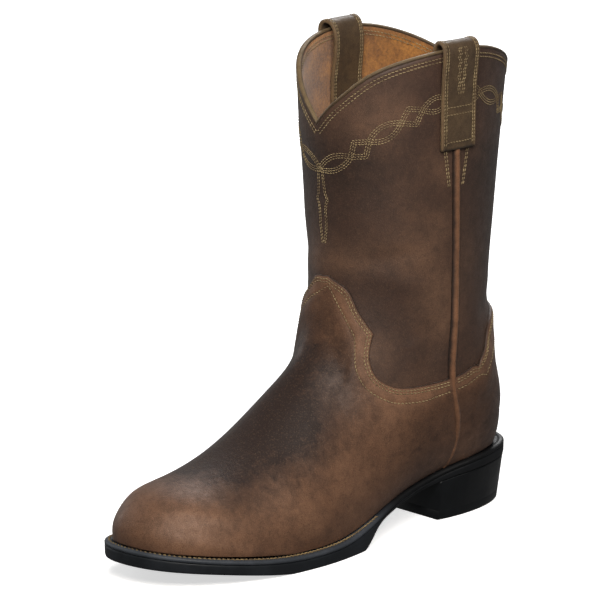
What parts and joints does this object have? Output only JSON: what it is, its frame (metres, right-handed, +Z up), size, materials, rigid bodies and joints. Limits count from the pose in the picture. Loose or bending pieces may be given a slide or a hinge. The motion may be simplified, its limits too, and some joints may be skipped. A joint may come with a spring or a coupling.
{
  "type": "roper boot",
  "caption": "Left pull-on leather boot with a rounded toe, scalloped top line, side pull loops, a welted rubber sole and a low straight heel.",
  "frame": {"origin": "centre of the heel's flat tread, on the floor", "axes": "+X to the wearer's outer side, -Y towards the toe, +Z up the shaft"},
  "size_m": [0.1135, 0.2907, 0.2968],
  "materials": {
    "shaft_leather": "oiled, distressed dark brown",
    "foot_leather": "oiled, distressed dark brown with grey sheen",
    "piping_leather": "oiled brown, rubbed lighter",
    "strap_leather": "oiled brown with tan edge",
    "insole_leather": "tan, matt",
    "welt_rubber": "dark grey, matt",
    "sole_rubber": "near black, satin",
    "heel_rubber": "near black, satin"
  },
  "bodies": {
    "root": {"upper": "shaft_leather", "vamp": "foot_leather", "counter": "foot_leather", "side_piping_lateral": "piping_leather", "side_piping_medial": "piping_leather", "topline_binding": "shaft_leather", "pull_strap_lateral": "strap_leather", "pull_strap_medial": "strap_leather", "insole": "insole_leather", "welt": "welt_rubber", "outsole": "sole_rubber", "heel": "heel_rubber"}
  },
  "joints": []
}
